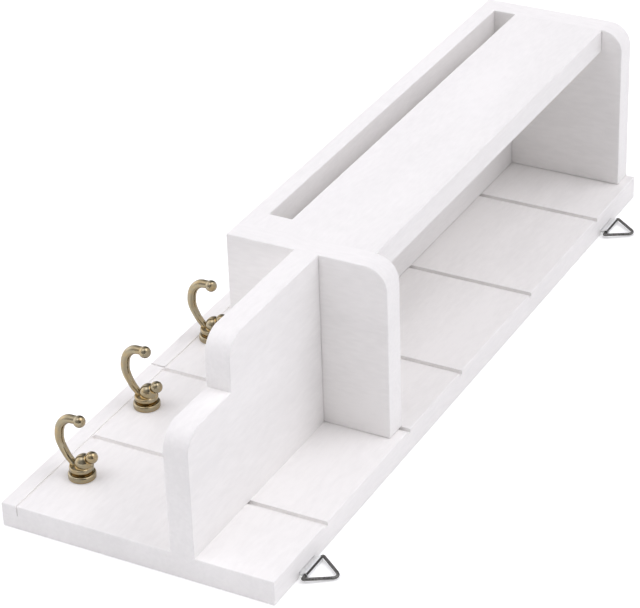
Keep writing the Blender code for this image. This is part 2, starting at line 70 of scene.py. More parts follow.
camera_right = Vector((0.88328, 0.46781, -0.03115))
camera_up = Vector((-0.21407, 0.46151, 0.86092))
camera_back = Vector((0.41713, -0.75376, 0.50779))
camera_place = Vector((0.50856, -0.94547, 0.65629))

bpy.ops.object.select_all(action="DESELECT")
bpy.ops.object.camera_add()
camera = bpy.context.object
camera.data.sensor_width = SENSOR_WIDTH
camera.data.lens = FOCAL_LENGTH_IN_PIXELS * SENSOR_WIDTH / FRAME_WIDTH
camera_turn = Matrix((camera_right, camera_up, camera_back)).transposed()
camera.matrix_world = Matrix.Translation(camera_place) @ camera_turn.to_4x4()
bpy.context.scene.camera = camera
bpy.context.scene.view_settings.view_transform = "Standard"


# Back board: one 12 mm wooden board, scored across so that it looks planked, with a narrow strip along its
# lower edge. Grooves are saw cuts, its edges are sanded over by hand, it is painted white all round, and its
# back is countersunk for the screws and let in for the two hanger straps.
GROOVE_WIDTH = 0.0030
GROOVE_DEPTH = 0.0018
STRIP_WIDTH = 0.0081
STRIP_LINE_WIDTH = 0.0011
STRIP_LINE_DEPTH = 0.0006
STRIP_END_WIDTH = 0.0006
STRIP_END_DEPTH = 0.0050
STRIP_END_REACH = 0.0005
STRIP_JOINT_PLACE = 0.1246
STRIP_JOINT_WIDTH = 0.0011
UPPER_GROOVES = (0.0458, 0.1248, 0.1787, 0.2568, 0.3387)
LOWER_GROOVES = (0.0606, 0.1229, 0.1852, 0.2475, 0.3098)
EASED_EDGE = 0.0005
EASED_STEPS = 4
FILLER_DEPTH = 0.0016
FILLER_START = 0.00055
SINK_RADIUS = 0.0034
SINK_LIP = 0.0003
SINK_DEPTH = 0.0020
SCREW_COUNT = 8
HANGERS = (1, 2)
STRAP_ROOM = 0.0003
RECESS_OVER_BAR = 0.0012
OVERCUT = 0.001
TURN_STEPS = 64
MERGE_DISTANCE = 1e-6
ON_PLANE = 2e-5
SHARP_ANGLE = math.radians(30)
SMOOTH_ANGLE = math.radians(40)
UP_WALL, ALONG_BOARD, OUT_OF_WALL = 0, 1, 2


def block(name, low, high):
    """A cube primitive pulled to the size and place of a sawn board."""
    bpy.ops.object.select_all(action="DESELECT")
    low, high = Vector(low), Vector(high)
    bpy.ops.mesh.primitive_cube_add(size=1.0, location=(low + high) / 2, scale=high - low)
    bpy.ops.object.transform_apply(location=True, rotation=True, scale=True)
    piece = bpy.context.object
    piece.name = name
    return piece


def pick(piece):
    """Make one piece the only selected and active one."""
    bpy.ops.object.select_all(action="DESELECT")
    piece.select_set(True)
    bpy.context.view_layer.objects.active = piece


def open_mesh(piece, mode="EDGE"):
    """Go into edit mode on one piece with nothing selected, and give its mesh."""
    pick(piece)
    bpy.ops.object.mode_set(mode="EDIT")
    bpy.ops.mesh.select_mode(type=mode)
    bpy.ops.mesh.select_all(action="DESELECT")
    return bmesh.from_edit_mesh(piece.data)


def close_mesh():
    """Leave edit mode."""
    bpy.ops.object.mode_set(mode="OBJECT")


def round_edges(piece, radius, steps, test):
    """Round over the sharp edges whose two ends pass a test."""
    mesh = open_mesh(piece)
    for edge in mesh.edges:
        first, second = (vert.co for vert in edge.verts)
        edge.select_set(edge.calc_face_angle(0.0) > SHARP_ANGLE and test(first, second))
    bmesh.update_edit_mesh(piece.data)
    bpy.ops.mesh.bevel(offset=radius, segments=steps, affect="EDGES", clamp_overlap=True)
    close_mesh()


def work_in(piece, shape, operation):
    """Cut a shape out of a piece, or join it on, and throw the shape away."""
    modifier = piece.modifiers.new(operation, "BOOLEAN")
    modifier.operation = operation
    modifier.solver = "EXACT"
    modifier.object = shape
    pick(piece)
    bpy.ops.object.modifier_apply(modifier=modifier.name)
    bpy.data.objects.remove(shape)


def fill_back(piece, low, high):
    """Make a stretch of an eased edge square again, where a neighbour's face lies flush with it."""
    open_mesh(piece)
    bpy.ops.mesh.select_all(action="SELECT")
    bpy.ops.mesh.quads_convert_to_tris()
    close_mesh()
    work_in(piece, block("filler", low, high), "UNION")


def drawn(name, spots):
    """A chain of edges drawn from spot to spot: one vertex, extruded again and again."""
    bpy.ops.object.select_all(action="DESELECT")
    bpy.ops.mesh.primitive_plane_add(size=MERGE_DISTANCE)
    piece = bpy.context.object
    piece.name = name
    open_mesh(piece, "VERT")
    bpy.ops.mesh.select_all(action="SELECT")
    bpy.ops.mesh.merge(type="CENTER")
    bpy.ops.transform.translate(value=spots[0])
    for first, second in zip(spots, spots[1:]):
        bpy.ops.mesh.extrude_vertices_move(TRANSFORM_OT_translate={"value": Vector(second) - Vector(first)})
    close_mesh()
    return piece


def turned(name, outline):
    """A body turned about the upright line through the origin, from a chain of radius and height."""
    piece = drawn(name, [(radius, 0.0, height) for radius, height in outline])
    open_mesh(piece)
    bpy.ops.mesh.select_all(action="SELECT")
    bpy.ops.mesh.spin(steps=TURN_STEPS, angle=math.tau, center=(0, 0, 0), axis=(0, 0, 1))
    bpy.ops.mesh.select_all(action="SELECT")
    bpy.ops.mesh.remove_doubles(threshold=MERGE_DISTANCE)
    bpy.ops.mesh.normals_make_consistent(inside=False)
    close_mesh()
    return piece


def placed(piece, location, turn=(0.0, 0.0, 0.0)):
    """Set a piece down with a turn, and put both into its mesh."""
    pick(piece)
    piece.location = location
    piece.rotation_euler = turn
    bpy.ops.object.transform_apply(location=True, rotation=True, scale=True)
    return piece


def settle(piece):
    """Merge doubles, turn the faces outward and shade a finished mesh, with broad faces kept flat."""
    open_mesh(piece)
    bpy.ops.mesh.select_all(action="SELECT")
    bpy.ops.mesh.remove_doubles(threshold=MERGE_DISTANCE)
    bpy.ops.mesh.normals_make_consistent(inside=False)
    close_mesh()
    bpy.ops.object.shade_smooth_by_angle(angle=SMOOTH_ANGLE)
    modifier = piece.modifiers.new("flat_faces", "WEIGHTED_NORMAL")
    modifier.keep_sharp = True
    bpy.ops.object.modifier_apply(modifier=modifier.name)


def put_on(piece, body, slot, material, *nodes):
    """Give a finished piece its material, and let it stand for its nodes and move with their body."""
    piece.data.materials.clear()
    piece.data.materials.append(material)
    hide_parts(*nodes)
    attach(piece, body)


def linear(code):
    """Linear red, green, blue and alpha of an sRGB hex colour."""
    parts = [int(code[start:start + 2], 16) / 255 for start in (1, 3, 5)]
    return [part / 12.92 if part <= 0.04045 else ((part + 0.055) / 1.055) ** 2.4 for part in parts] + [1.0]


def add_node(tree, kind, settings, inputs):
    """Add a node with its settings; an input is a value, or another node's output that is linked to it."""
    node = tree.nodes.new("ShaderNode" + kind)
    for name, value in settings.items():
        setattr(node, name, value)
    for name, value in inputs.items():
        if isinstance(value, bpy.types.NodeSocket):
            tree.links.new(value, node.inputs[name])
        else:
            node.inputs[name].default_value = value
    return node


def ramp(tree, factor, *stops):
    """A colour ramp through (position, hex colour) stops."""
    node = add_node(tree, "ValToRGB", {}, {"Fac": factor})
    elements = node.color_ramp.elements
    while len(elements) < len(stops):
        elements.new(0.5)
    for element, (position, code) in zip(elements, stops):
        element.position = position
        element.color = linear(code)
    return node.outputs["Color"]


# Satin acrylic paint, rolled on over sanded wood. The eye gets a clean white that is a little uneven from
# coat to coat, a soft sheen, and the wood's grain as faint short ridges. The roller's stipple is drawn about
# twice as coarse as a real one, so that it shows. Nearly all of a noise lies between its low and high value.
PAINT_THIN = "#F3F1EF"
PAINT_FULL = "#FAF8F6"
THIN_TONE = 0.30
FULL_TONE = 0.70
GRAIN_WIDTH = 0.0016
GRAIN_STRETCH = 4.0
GRAIN_DETAIL = 3.0
GRAIN_RELIEF = 0.000032
STIPPLE_SIZE = 0.0011
STIPPLE_DETAIL = 1.0
STIPPLE_RELIEF = 0.000028
COAT_PATCH = 0.030
COAT_DETAIL = 4.0
BRUSH_SHARE = 0.70
PAINT_SATIN = 0.44
PAINT_DULL = 0.56
PAINT_IOR = 1.48
NOISE_LOW = 0.3
NOISE_HIGH = 0.7


def painted_wood(name, grain_axis):
    """White paint over wood whose grain runs along one axis."""
    material = bpy.data.materials.new(name)
    material.use_nodes = True
    tree = material.node_tree
    shader = tree.nodes["Principled BSDF"]
    spot = add_node(tree, "TexCoord", {}, {}).outputs["Object"]
    across = [1.0, 1.0, 1.0]
    across[grain_axis] = 1.0 / GRAIN_STRETCH
    along = add_node(tree, "Mapping", {}, {"Vector": spot, "Scale": across}).outputs["Vector"]
    grain = add_node(tree, "TexNoise", {}, {"Vector": along, "Scale": 1 / GRAIN_WIDTH,
                                            "Detail": GRAIN_DETAIL})
    stipple = add_node(tree, "TexNoise", {}, {"Vector": spot, "Scale": 1 / STIPPLE_SIZE,
                                              "Detail": STIPPLE_DETAIL})
    coat = add_node(tree, "TexNoise", {}, {"Vector": along, "Scale": 1 / COAT_PATCH, "Detail": COAT_DETAIL})
    ridges = add_node(tree, "Bump", {}, {"Height": grain.outputs["Fac"], "Distance": GRAIN_RELIEF})
    skin = add_node(tree, "Bump", {}, {"Height": stipple.outputs["Fac"], "Distance": STIPPLE_RELIEF,
                                       "Normal": ridges.outputs["Normal"]})
    uneven = add_node(tree, "MapRange", {}, {"Value": grain.outputs["Fac"], "To Min": -BRUSH_SHARE / 2,
                                             "To Max": BRUSH_SHARE / 2})
    tone = add_node(tree, "Math", {"operation": "ADD"}, {0: coat.outputs["Fac"],
                                                         1: uneven.outputs["Result"]})
    tint = ramp(tree, tone.outputs["Value"], (THIN_TONE, PAINT_THIN), (FULL_TONE, PAINT_FULL))
    sheen = add_node(tree, "MapRange", {}, {"Value": grain.outputs["Fac"], "From Min": NOISE_LOW,
                                            "From Max": NOISE_HIGH, "To Min": PAINT_SATIN,
                                            "To Max": PAINT_DULL})
    tree.links.new(tint, shader.inputs["Base Color"])
    tree.links.new(sheen.outputs["Result"], shader.inputs["Roughness"])
    tree.links.new(skin.outputs["Normal"], shader.inputs["Normal"])
    shader.inputs["IOR"].default_value = PAINT_IOR
    return material


paint_along = painted_wood("white_paint_grain_along", ALONG_BOARD)
paint_up = painted_wood("white_paint_grain_up", UP_WALL)

board_low, board_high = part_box("back_board")
shelf_low, shelf_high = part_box("shelf")
near_low, near_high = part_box("near_side_panel")
far_low, far_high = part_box("far_side_panel")
sill_low, sill_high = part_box("sill_board")
bin_low, bin_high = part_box("bin_floor")
groove_bottom = board_high.z - GROOVE_DEPTH
strip_line = board_low.x + STRIP_WIDTH


def groove(place, width, low, high):
    """A saw cut across the board's face, at a place from its near end."""
    start = board_low.y + place - width / 2
    return block("groove", (low, start, groove_bottom), (high, start + width, board_high.z + OVERCUT))


board = block("painted_back_board", board_low, board_high)
round_edges(board, EASED_EDGE, EASED_STEPS, lambda first, second: True)
filler_low = board_high.z - FILLER_DEPTH
fill_back(board, (shelf_low.x, board_low.y, filler_low),
          (shelf_high.x, board_low.y + FILLER_DEPTH, board_high.z))
fill_back(board, (far_low.x, board_high.y - FILLER_DEPTH, filler_low),
          (far_high.x, board_high.y, board_high.z))
line_low = (strip_line - STRIP_LINE_WIDTH / 2, board_low.y - OVERCUT, board_high.z - STRIP_LINE_DEPTH)
line_high = (strip_line + STRIP_LINE_WIDTH / 2, board_high.y + OVERCUT, board_high.z + OVERCUT)
work_in(board, block("strip_line", line_low, line_high), "DIFFERENCE")
for end, inward in ((board_low.y, 1), (board_high.y, -1)):
    places = sorted((end - inward * OVERCUT, end + inward * STRIP_END_REACH))
    end_low = (strip_line - STRIP_END_WIDTH / 2, places[0], board_high.z - STRIP_END_DEPTH)
    end_high = (strip_line + STRIP_END_WIDTH / 2, places[1], board_high.z + OVERCUT)
    work_in(board, block("strip_end", end_low, end_high), "DIFFERENCE")
strip_joint = groove(STRIP_JOINT_PLACE, STRIP_JOINT_WIDTH, board_low.x - OVERCUT, strip_line)
work_in(board, strip_joint, "DIFFERENCE")
shelf_middle = (shelf_low.x + shelf_high.x) / 2
for place in UPPER_GROOVES:
    start = shelf_middle if board_low.y + place < near_low.y else (bin_low.x + bin_high.x) / 2
    work_in(board, groove(place, GROOVE_WIDTH, start, board_high.x + OVERCUT), "DIFFERENCE")
for place in LOWER_GROOVES:
    end = shelf_middle - GROOVE_WIDTH if board_low.y + place < near_low.y else (sill_low.x + sill_high.x) / 2
    work_in(board, groove(place, GROOVE_WIDTH, strip_line, end), "DIFFERENCE")
for number in range(1, SCREW_COUNT + 1):
    low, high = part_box(f"board_screw_{number}")
    sink = turned("sink", [(0.0, -OVERCUT), (SINK_RADIUS, -OVERCUT), (SINK_RADIUS, SINK_LIP),
                           (SINK_RADIUS - SINK_DEPTH, SINK_LIP + SINK_DEPTH), (0.0, SINK_LIP + SINK_DEPTH)])
    work_in(board, placed(sink, ((low.x + high.x) / 2, (low.y + high.y) / 2, board_low.z)), "DIFFERENCE")
for number in HANGERS:
    low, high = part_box(f"hanger_strap_{number}")
    bar = Vector(frame["joints"][number - 1]["pos_m"])
    recess_top = bar.z + RECESS_OVER_BAR
    recess = block("recess", (low.x - STRAP_ROOM, low.y - STRAP_ROOM, board_low.z - OVERCUT),
                   (board_high.x + OVERCUT, high.y + STRAP_ROOM, recess_top))
    work_in(board, recess, "DIFFERENCE")
settle(board)
put_on(board, "holder", "white_paint", paint_along, "back_board")


# Shelf over the hooks: a 12 mm board on edge, glued and screwed from behind. It is sawn shallow at the near
# end and steps out to the depth of the letter box, with both outer corners rounded, and it butts against the
# near side panel.
SHELF_SHALLOW_DEPTH = 0.0725
SHELF_STEP_PLACE = 0.0367
CORNER_RADIUS = 0.011
CORNER_STEPS = 24
FACING = 0.9


def both_at(first, second, axis, value):
    """True if both ends of an edge lie at one place along an axis."""
    return abs(first[axis] - value) < ON_PLANE and abs(second[axis] - value) < ON_PLANE


def edge_at(*places):
    """A test for the edges that lie at each of some places, given as an axis and a value along it."""
    return lambda first, second: all(both_at(first, second, axis, value) for axis, value in places)


def score(piece, axis, value):
    """Cut a line all round a piece at one place along an axis."""
    open_mesh(piece)
    bpy.ops.mesh.select_all(action="SELECT")
    place, direction = Vector(), Vector()
    place[axis] = value
    direction[axis] = 1.0
    bpy.ops.mesh.bisect(plane_co=place, plane_no=direction)
    close_mesh()


step_place = board_low.y + SHELF_STEP_PLACE
shelf = block("painted_shelf", (shelf_low.x, shelf_low.y, board_high.z),
              (shelf_high.x, shelf_high.y, SHELF_SHALLOW_DEPTH))
score(shelf, ALONG_BOARD, step_place)
mesh = open_mesh(shelf, "FACE")
for face in mesh.faces:
    face.select_set(face.normal.z > FACING and face.calc_center_median().y > step_place)
bmesh.update_edit_mesh(shelf.data)
step_rise = (0, 0, shelf_high.z - SHELF_SHALLOW_DEPTH)
bpy.ops.mesh.extrude_region_move(TRANSFORM_OT_translate={"value": step_rise})
close_mesh()
for place, depth in ((shelf_low.y, SHELF_SHALLOW_DEPTH), (step_place, shelf_high.z)):
    round_edges(shelf, CORNER_RADIUS, CORNER_STEPS, edge_at((ALONG_BOARD, place), (OUT_OF_WALL, depth)))


def shelf_edge_shows(first, second):
    """True for the edges of the shelf's two broad faces, but not where it meets the board or the panel."""
    if (both_at(first, second, OUT_OF_WALL, board_high.z)
            or both_at(first, second, ALONG_BOARD, shelf_high.y)):
        return False
    return both_at(first, second, UP_WALL, shelf_low.x) or both_at(first, second, UP_WALL, shelf_high.x)


round_edges(shelf, EASED_EDGE, EASED_STEPS, shelf_edge_shows)
fill_back(shelf, (shelf_low.x + FILLER_START, shelf_high.y - FILLER_DEPTH, shelf_high.z - FILLER_DEPTH),
          (shelf_high.x - FILLER_START, near_low.y, shelf_high.z))
settle(shelf)
put_on(shelf, "holder", "white_paint", paint_along, "shelf")


# Side panels of the letter box: two 12 mm boards on edge with one corner rounded, glued to the back board
# and screwed from behind. The near one is flush with the shelf's front edge, and both with the box's front.
front_low, front_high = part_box("front_panel")
panel_face = near_high.z


def round_panel(node, low, high, outer):
    """One side panel with a rounded corner. Its open edges are eased: all round its outer face, and in front
    and above on its inner face."""
    panel = block("painted_" + node, low, high)
    round_edges(panel, CORNER_RADIUS, CORNER_STEPS, edge_at((UP_WALL, high.x), (OUT_OF_WALL, high.z)))

    def panel_edge_shows(first, second):
        if both_at(first, second, OUT_OF_WALL, low.z):
            return False
        if both_at(first, second, UP_WALL, low.x):
            return both_at(first, second, ALONG_BOARD, outer) or both_at(first, second, OUT_OF_WALL, high.z)
        return both_at(first, second, ALONG_BOARD, low.y) or both_at(first, second, ALONG_BOARD, high.y)

    round_edges(panel, EASED_EDGE, EASED_STEPS, panel_edge_shows)
    return panel


near_panel = round_panel("near_side_panel", near_low, near_high, near_low.y)
fill_back(near_panel, (shelf_low.x + FILLER_START, near_low.y, panel_face - FILLER_DEPTH),
          (shelf_high.x - FILLER_START, near_low.y + FILLER_DEPTH, panel_face))
fill_back(near_panel, (near_low.x + FILLER_START, near_high.y - FILLER_DEPTH, panel_face - FILLER_DEPTH),
          (front_high.x - FILLER_START, near_high.y, panel_face))
settle(near_panel)
put_on(near_panel, "holder", "white_paint", paint_up, "near_side_panel")

far_panel = round_panel("far_side_panel", far_low, far_high, far_high.y)
fill_back(far_panel, (far_low.x + FILLER_START, far_low.y, panel_face - FILLER_DEPTH),
          (sill_high.x - FILLER_START, far_low.y + FILLER_DEPTH, panel_face))
fill_back(far_panel, (front_low.x + FILLER_START, far_low.y, panel_face - FILLER_DEPTH),
          (front_high.x - FILLER_START, far_low.y + FILLER_DEPTH, panel_face))
settle(far_panel)
put_on(far_panel, "holder", "white_paint", paint_up, "far_side_panel")


# Front of the letter box: a thin sill board, a short spacer that closes the near end of the mail slot, and
# the front panel, all glued between the side panels with their faces flush. The joints in the face are
# filled before painting. A thin board behind the front panel is the bin's floor.
spacer_low, spacer_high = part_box("slot_spacer")
slot_start = spacer_high.y


def any_edge(*tests):
    """A test for the edges that pass at least one of some tests."""
    return lambda first, second: any(test(first, second) for test in tests)


sill = block("painted_sill_board", (sill_low.x, near_high.y, sill_low.z),
             (sill_high.x, far_low.y, panel_face))
round_edges(sill, EASED_EDGE, EASED_STEPS,
            any_edge(edge_at((UP_WALL, sill_low.x), (OUT_OF_WALL, panel_face)),
                     edge_at((UP_WALL, sill_high.x), (OUT_OF_WALL, panel_face))))
fill_back(sill, (sill_high.x - FILLER_DEPTH, near_high.y, panel_face - FILLER_DEPTH),
          (sill_high.x, slot_start - FILLER_START, panel_face))
settle(sill)
put_on(sill, "holder", "white_paint", paint_along, "sill_board")

spacer = block("painted_slot_spacer", (sill_high.x, near_high.y, spacer_low.z),
               (front_low.x, slot_start, panel_face))
round_edges(spacer, EASED_EDGE, EASED_STEPS, edge_at((OUT_OF_WALL, panel_face), (ALONG_BOARD, slot_start)))
settle(spacer)
put_on(spacer, "holder", "white_paint", paint_along, "slot_spacer")

front = block("painted_front_panel", (front_low.x, near_high.y, front_low.z), front_high)
round_edges(front, EASED_EDGE, EASED_STEPS,
            any_edge(edge_at((UP_WALL, front_high.x), (OUT_OF_WALL, panel_face)),
                     edge_at((UP_WALL, front_high.x), (OUT_OF_WALL, front_low.z)),
                     edge_at((UP_WALL, front_low.x), (OUT_OF_WALL, panel_face))))
fill_back(front, (front_low.x, near_high.y, panel_face - FILLER_DEPTH),
          (front_low.x + FILLER_DEPTH, slot_start - FILLER_START, panel_face))
fill_back(front, (front_low.x + FILLER_START, front_high.y - FILLER_DEPTH, panel_face - FILLER_DEPTH),
          (front_high.x - FILLER_START, far_low.y, panel_face))
settle(front)
put_on(front, "holder", "white_paint", paint_along, "front_panel")
frame["nodes"]["bin_floor"].material_slots[0].material = paint_along


# Board screws and brads: countersunk steel screws with a cross recess, driven through the back board into
# the boards on edge, and headless brads set into the ends of the front panel and filled over.
SCREW_HEAD_RADIUS = 0.0031
SCREW_SINK = 0.0003
SCREW_RADIUS = 0.0015
SCREW_LENGTH = 0.030
SCREW_POINT = 0.004
CROSS_LENGTH = 0.0034
CROSS_WIDTH = 0.0008
CROSS_DEPTH = 0.0011
BRAD_COUNT = 4

# Dark drawn steel, oiled black-grey. The eye gets a low grey gleam with fine streaks left by the drawing.
STEEL_DARK = "#5B5A58"
STEEL_WORN = "#7E7D7A"
STEEL_SMOOTH = 0.24
STEEL_DULL = 0.42
STEEL_STREAK = 0.0007
STREAK_DETAIL = 4.0
DARK_STREAK = 0.35
WORN_STREAK = 0.65


def drawn_steel(name, dark, marked, smooth, dull):
    """Steel with fine streaks that change its tone and gloss a little."""
    material = bpy.data.materials.new(name)
    material.use_nodes = True
    tree = material.node_tree
    shader = tree.nodes["Principled BSDF"]
    spot = add_node(tree, "TexCoord", {}, {}).outputs["Object"]
    streak = add_node(tree, "TexNoise", {}, {"Vector": spot, "Scale": 1 / STEEL_STREAK,
                                             "Detail": STREAK_DETAIL})
    gloss = add_node(tree, "MapRange", {}, {"Value": streak.outputs["Fac"], "From Min": NOISE_LOW,
                                            "From Max": NOISE_HIGH, "To Min": smooth, "To Max": dull})
    tint = ramp(tree, streak.outputs["Fac"], (DARK_STREAK, dark), (WORN_STREAK, marked))
    tree.links.new(tint, shader.inputs["Base Color"])
    tree.links.new(gloss.outputs["Result"], shader.inputs["Roughness"])
    shader.inputs["Metallic"].default_value = 1.0
    return material


dark_steel = drawn_steel("dark_drawn_steel", STEEL_DARK, STEEL_WORN, STEEL_SMOOTH, STEEL_DULL)


def cross_recess(piece, underside, length, width, depth):
    """Sink a cross into the underside of a screw head that stands on the upright line through the origin."""
    for half_x, half_y in ((length / 2, width / 2), (width / 2, length / 2)):
        work_in(piece, block("cross", (-half_x, -half_y, underside - OVERCUT),
                             (half_x, half_y, underside + depth)), "DIFFERENCE")


def copied(piece, name, shift):
    """A copy of a piece with its own mesh, moved into place."""
    pick(piece)
    bpy.ops.object.duplicate(linked=False)
    copy = bpy.context.object
    copy.name = name
    return placed(copy, shift)


screw_top = SCREW_SINK + SCREW_LENGTH
screw = turned("screw", [(0.0, screw_top), (SCREW_RADIUS, screw_top - SCREW_POINT),
                         (SCREW_RADIUS, SCREW_SINK + SCREW_HEAD_RADIUS - SCREW_RADIUS),
                         (SCREW_HEAD_RADIUS, SCREW_SINK), (0.0, SCREW_SINK)])
cross_recess(screw, SCREW_SINK, CROSS_LENGTH, CROSS_WIDTH, CROSS_DEPTH)
settle(screw)
for number in range(1, SCREW_COUNT + 1):
    node = f"board_screw_{number}"
    low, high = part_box(node)
    head = ((low.x + high.x) / 2, (low.y + high.y) / 2, board_low.z)
    copy = copied(screw, f"cross_head_screw_{number}", head)
    put_on(copy, "holder", "dark_steel", dark_steel, node)
bpy.data.objects.remove(screw)
for number in range(1, BRAD_COUNT + 1):
    frame["nodes"][f"front_brad_{number}"].material_slots[0].material = dark_steel


# Key hooks: three small hooks of antique brass. A turned flange lies on the board, the body above it is cast
# in one with its curled arm, its ball tip and a round bead, a ball knob is pressed into the bead, and a stud
# holds it to the board.
ROSETTE_RADIUS = 0.00625
ROSETTE_TOP = 0.0028
ROSETTE_EDGE = 0.0009
ROSETTE_FOOT_EDGE = 0.0004
ROSETTE_SEAT = 0.00002
BOSS_LOW = 0.0028
BOSS_NECK_RADIUS = 0.0041
BOSS_RIM_LOW = 0.0042
BOSS_RADIUS = 0.0055
BOSS_TOP = 0.0062
BOSS_EDGE = 0.0004
BOSS_TOP_EDGE = 0.0007
BEAD_RADIUS = 0.0040
BEAD_PLACE = (0.0014, 0.0, 0.0079)
KNOB_TILT = math.radians(39.6)
KNOB_FOOT = 0.0045
KNOB_RADIUS = 0.0028
KNOB_REACH = 0.0091
KNOB_NECK_LOW = 0.0037
KNOB_NECK_RADIUS = 0.0018
ARM_RADIUS = 0.00195
ARM_BENDS = (
    (-0.0025, 0.0046, 0.00155),
    (-0.0074, 0.0104, 0.00175),
    (-0.0101, 0.0192, 0.00213),
    (-0.0062, 0.0278, 0.00213),
    (0.0003, 0.0293, 0.00195),
)
ARM_STEPS = 24
BAR_STEPS = 12
TIP_RADIUS = 0.0028
TIP_PLACE = (0.0010, 0.0, 0.0287)
CAST_GRAIN = 0.00018
CAST_SMOOTHING = 5
ARC_STEPS = 8
BALL_STEPS = 24
HOOK_COUNT = 3


def bow(out, rise, radius, start, end, steps):
    """Chain points along an arc about a middle, by degrees turned from straight down."""
    turns = [math.radians(start + (end - start) * step / steps) for step in range(steps + 1)]
    return [(max(out + radius * math.sin(turn), 0.0), rise - radius * math.cos(turn)) for turn in turns]


foot_radius = ROSETTE_RADIUS - ROSETTE_FOOT_EDGE
top_radius = ROSETTE_RADIUS - ROSETTE_EDGE
rosette = turned("rosette", [(0.0, ROSETTE_SEAT), (foot_radius, ROSETTE_SEAT)]
                 + bow(foot_radius, ROSETTE_SEAT + ROSETTE_FOOT_EDGE, ROSETTE_FOOT_EDGE, 0, 90, ARC_STEPS)
                 + bow(top_radius, ROSETTE_TOP - ROSETTE_EDGE, ROSETTE_EDGE, 90, 180, ARC_STEPS)
                 + [(0.0, ROSETTE_TOP)])
settle(rosette)

hook = turned("hook", [(0.0, BOSS_LOW), (BOSS_NECK_RADIUS, BOSS_LOW), (BOSS_NECK_RADIUS, BOSS_RIM_LOW)]
              + bow(BOSS_RADIUS - BOSS_EDGE, BOSS_RIM_LOW + BOSS_EDGE, BOSS_EDGE, 0, 90, ARC_STEPS)
              + bow(BOSS_RADIUS - BOSS_TOP_EDGE, BOSS_TOP - BOSS_TOP_EDGE, BOSS_TOP_EDGE, 90, 180, ARC_STEPS)
              + [(0.0, BOSS_TOP)])
bead = turned("bead", bow(0.0, 0.0, BEAD_RADIUS, 0, 180, BALL_STEPS))
work_in(hook, placed(bead, BEAD_PLACE), "UNION")

bpy.ops.object.select_all(action="DESELECT")
bpy.ops.curve.primitive_bezier_curve_add()
arm = bpy.context.object
arm.data.resolution_u = ARM_STEPS
arm.data.bevel_depth = ARM_RADIUS
arm.data.bevel_resolution = BAR_STEPS
arm.data.use_fill_caps = True
bends = arm.data.splines[0].bezier_points
bends.add(len(ARM_BENDS) - len(bends))
for bend, (out, rise, radius) in zip(bends, ARM_BENDS):
    bend.co = (out, 0.0, rise)
    bend.radius = radius / ARM_RADIUS
    bend.handle_left_type = "AUTO"
    bend.handle_right_type = "AUTO"
bpy.ops.object.convert(target="MESH")
work_in(hook, bpy.context.object, "UNION")
tip = turned("tip", bow(0.0, 0.0, TIP_RADIUS, 0, 180, BALL_STEPS))
work_in(hook, placed(tip, TIP_PLACE), "UNION")
modifier = hook.modifiers.new("cast_skin", "REMESH")
modifier.mode = "VOXEL"
modifier.voxel_size = CAST_GRAIN
modifier.use_smooth_shade = True
pick(hook)
bpy.ops.object.modifier_apply(modifier=modifier.name)
modifier = hook.modifiers.new("cast_rounding", "SMOOTH")
modifier.iterations = CAST_SMOOTHING
bpy.ops.object.modifier_apply(modifier=modifier.name)

neck_turn = math.degrees(math.asin(KNOB_NECK_RADIUS / KNOB_RADIUS))
knob = turned("knob", [(0.0, KNOB_NECK_LOW), (KNOB_NECK_RADIUS, KNOB_NECK_LOW)]
              + bow(0.0, KNOB_REACH, KNOB_RADIUS, neck_turn, 180, BALL_STEPS))
placed(knob, (0, 0, KNOB_FOOT), (0, KNOB_TILT, 0))
settle(knob)

# Antique brass: cast brass darkened in a bath and then buffed. The eye gets a soft warm gleam, brown-black
# left in the hollows and joints, paler metal on what stands proud, and faint blotches of handling. The
# brown-black follows an occlusion node that also reaches the board. It is partly patina and partly
# painted shade, and it is darkest where the flange's rim sits on the board.
BRASS_PATINA_AND_SHADE = "#301C05"
BRASS_BODY = "#BD9F66"
BRASS_PROUD = "#9E947C"
PATINA_AND_SHADE_TONE = 0.25
BODY_TONE = 0.70
PROUD_TONE = 1.0
PATINA_AND_SHADE_REACH = 0.0007
PATINA_AND_SHADE_SAMPLES = 8
BRASS_BLOTCH = 0.0032
BLOTCH_DETAIL = 3.0
BLOTCH_DARKER = -0.12
BLOTCH_PALER = 0.06
BRASS_SMOOTH = 0.11
BRASS_DULL = 0.20
BRASS_PIT = 0.00035
PIT_DETAIL = 2.0
BRASS_PIT_RELIEF = 0.000003

brass = bpy.data.materials.new("antique_brass_buffed")
brass.use_nodes = True
tree = brass.node_tree
shader = tree.nodes["Principled BSDF"]
spot = add_node(tree, "TexCoord", {}, {}).outputs["Object"]
blotch = add_node(tree, "TexNoise", {}, {"Vector": spot, "Scale": 1 / BRASS_BLOTCH, "Detail": BLOTCH_DETAIL})
pits = add_node(tree, "TexNoise", {}, {"Vector": spot, "Scale": 1 / BRASS_PIT, "Detail": PIT_DETAIL})
